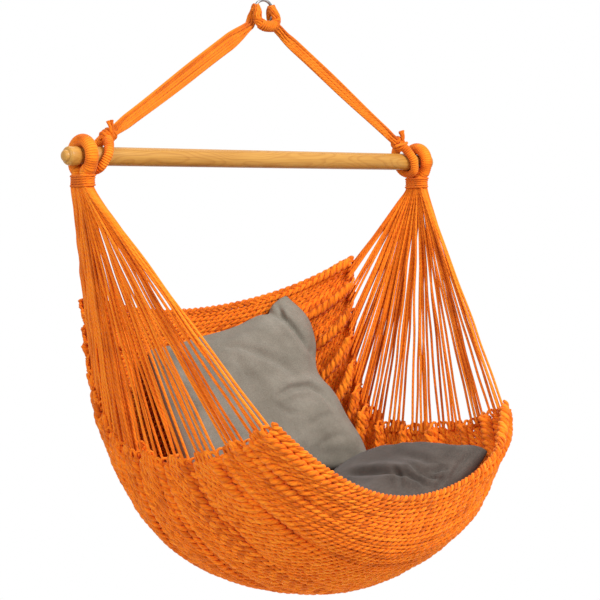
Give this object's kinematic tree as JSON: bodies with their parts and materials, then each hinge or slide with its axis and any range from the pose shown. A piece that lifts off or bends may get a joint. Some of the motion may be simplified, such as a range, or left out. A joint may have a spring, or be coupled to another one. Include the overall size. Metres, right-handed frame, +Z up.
{
  "type": "hammock chair",
  "caption": "Hanging net chair on a round wooden bar, with a cord bridle, a hanging ring and loose cushions.",
  "frame": {"origin": "top of the ring's eye, where the hook bears", "axes": "+Z up, X along the wooden bar, -Y towards the open front of the seat"},
  "size_m": [0.98, 0.684, 1.1654],
  "materials": {
    "steel": "polished steel",
    "orange_cord": "twisted cord",
    "wood": "clear-lacquered pale wood",
    "dark_fabric": "woven dark grey-brown cloth",
    "light_fabric": "woven light grey cloth",
    "filling": "loose white filling"
  },
  "bodies": {
    "ring": {"hanging_ring": "steel"},
    "bridle": {"ring_hitch": "orange_cord", "left_bridle_leg": "orange_cord", "left_bridle_knot": "orange_cord", "left_bridle_eye": "orange_cord", "right_bridle_leg": "orange_cord", "right_bridle_knot": "orange_cord", "right_bridle_eye": "orange_cord"},
    "bar": {"spreader_bar": "wood"},
    "seat": {"left_arm_eye": "orange_cord", "right_arm_eye": "orange_cord", "left_arm_seizing": "orange_cord", "right_arm_seizing": "orange_cord", "left_fan_cords_1": "orange_cord", "left_fan_cords_2": "orange_cord", "left_fan_cords_3": "orange_cord", "left_fan_cords_4": "orange_cord", "left_fan_cords_5": "orange_cord", "left_fan_cords_6": "orange_cord", "left_fan_cords_7": "orange_cord", "left_fan_cords_8": "orange_cord", "left_fan_cords_9": "orange_cord", "left_fan_cords_10": "orange_cord", "left_fan_cords_11": "orange_cord", "left_fan_cords_12": "orange_cord", "right_fan_cords_1": "orange_cord", "right_fan_cords_2": "orange_cord", "right_fan_cords_3": "orange_cord", "right_fan_cords_4": "orange_cord", "right_fan_cords_5": "orange_cord", "right_fan_cords_6": "orange_cord", "right_fan_cords_7": "orange_cord", "right_fan_cords_8": "orange_cord", "right_fan_cords_9": "orange_cord", "right_fan_cords_10": "orange_cord", "right_fan_cords_11": "orange_cord", "right_fan_cords_12": "orange_cord", "net_seat": "orange_cord", "back_rim_cord": "orange_cord", "front_rim_cord": "orange_cord"},
    "seat_cushion": {"seat_cushion_cover": "dark_fabric", "seat_cushion_filling": "filling"},
    "back_cushion": {"back_cushion_cover": "light_fabric", "back_cushion_filling": "filling"}
  },
  "joints": [
    {"name": "bridle_turn", "type": "hinge", "parent": "ring", "child": "bridle", "pos_m": [0, 0, -0.021], "axis": [0, 1, 0], "range_deg": [-30, 30]},
    {"name": "bar_roll", "type": "hinge", "parent": "bridle", "child": "bar", "pos_m": [0, 0, -0.312], "axis": [1, 0, 0], "continuous": true},
    {"name": "seat_swing", "type": "hinge", "parent": "bridle", "child": "seat", "pos_m": [0, 0, -0.312], "axis": [1, 0, 0], "range_deg": [-25, 25]},
    {"name": "seat_cushion_lift", "type": "slide", "parent": "seat", "child": "seat_cushion", "axis": [0, -0.2, 0.9798], "range_m": [0, 0.28]},
    {"name": "back_cushion_lift", "type": "slide", "parent": "seat_cushion", "child": "back_cushion", "axis": [0, -0.72, 0.694], "range_m": [0, 0.4]}
  ]
}
